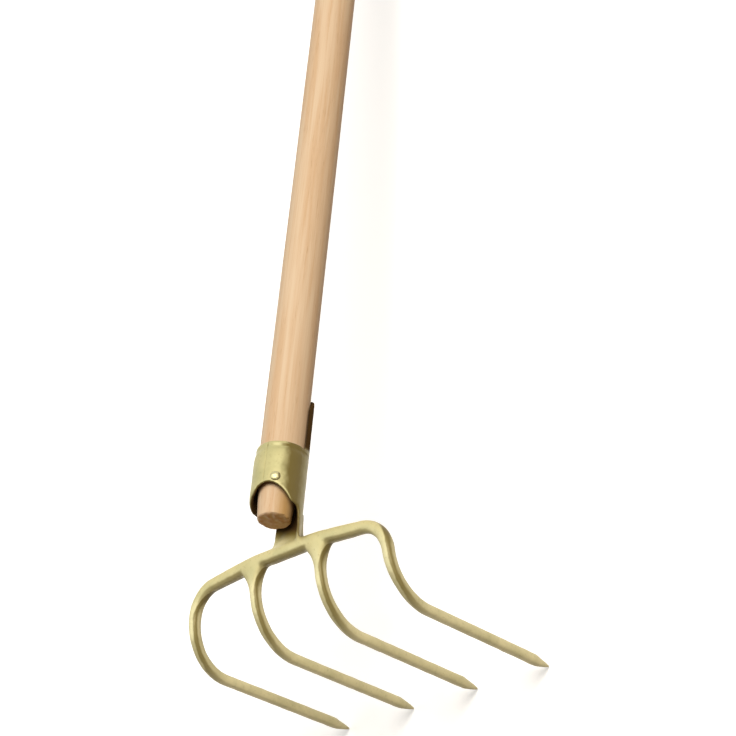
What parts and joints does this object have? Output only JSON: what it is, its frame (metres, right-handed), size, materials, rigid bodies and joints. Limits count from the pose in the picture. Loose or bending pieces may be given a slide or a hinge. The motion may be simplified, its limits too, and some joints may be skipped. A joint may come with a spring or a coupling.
{
  "type": "manure drag",
  "caption": "Four-tined manure drag: gold-lacquered forged head with rolled socket and strap, nailed on a straight ash handle, lying on its tine points.",
  "frame": {"origin": "centre of the bounding box's bottom face, on the surface that the tool lies on", "axes": "+Y runs along the handle, away from the head, which also falls 7.4 degrees that way. The four tines point down, -Z. +X runs across the head, towards the side that the socket's mouth is turned to"},
  "size_m": [0.2244, 1.4876, 0.2161],
  "materials": {
    "ash_wood": "clear-varnished pale ash with long straight grain",
    "gold_lacquer": "glossy transparent gold lacquer over forged steel",
    "nail_steel": "domed nail heads under the same lacquer"
  },
  "bodies": {
    "root": {"handle": "ash_wood", "socket": "gold_lacquer", "outer_tines_and_crossbar": "gold_lacquer", "inner_tine_left": "gold_lacquer", "inner_tine_right": "gold_lacquer", "collar_nail": "nail_steel", "strap_nail": "nail_steel"}
  },
  "joints": []
}
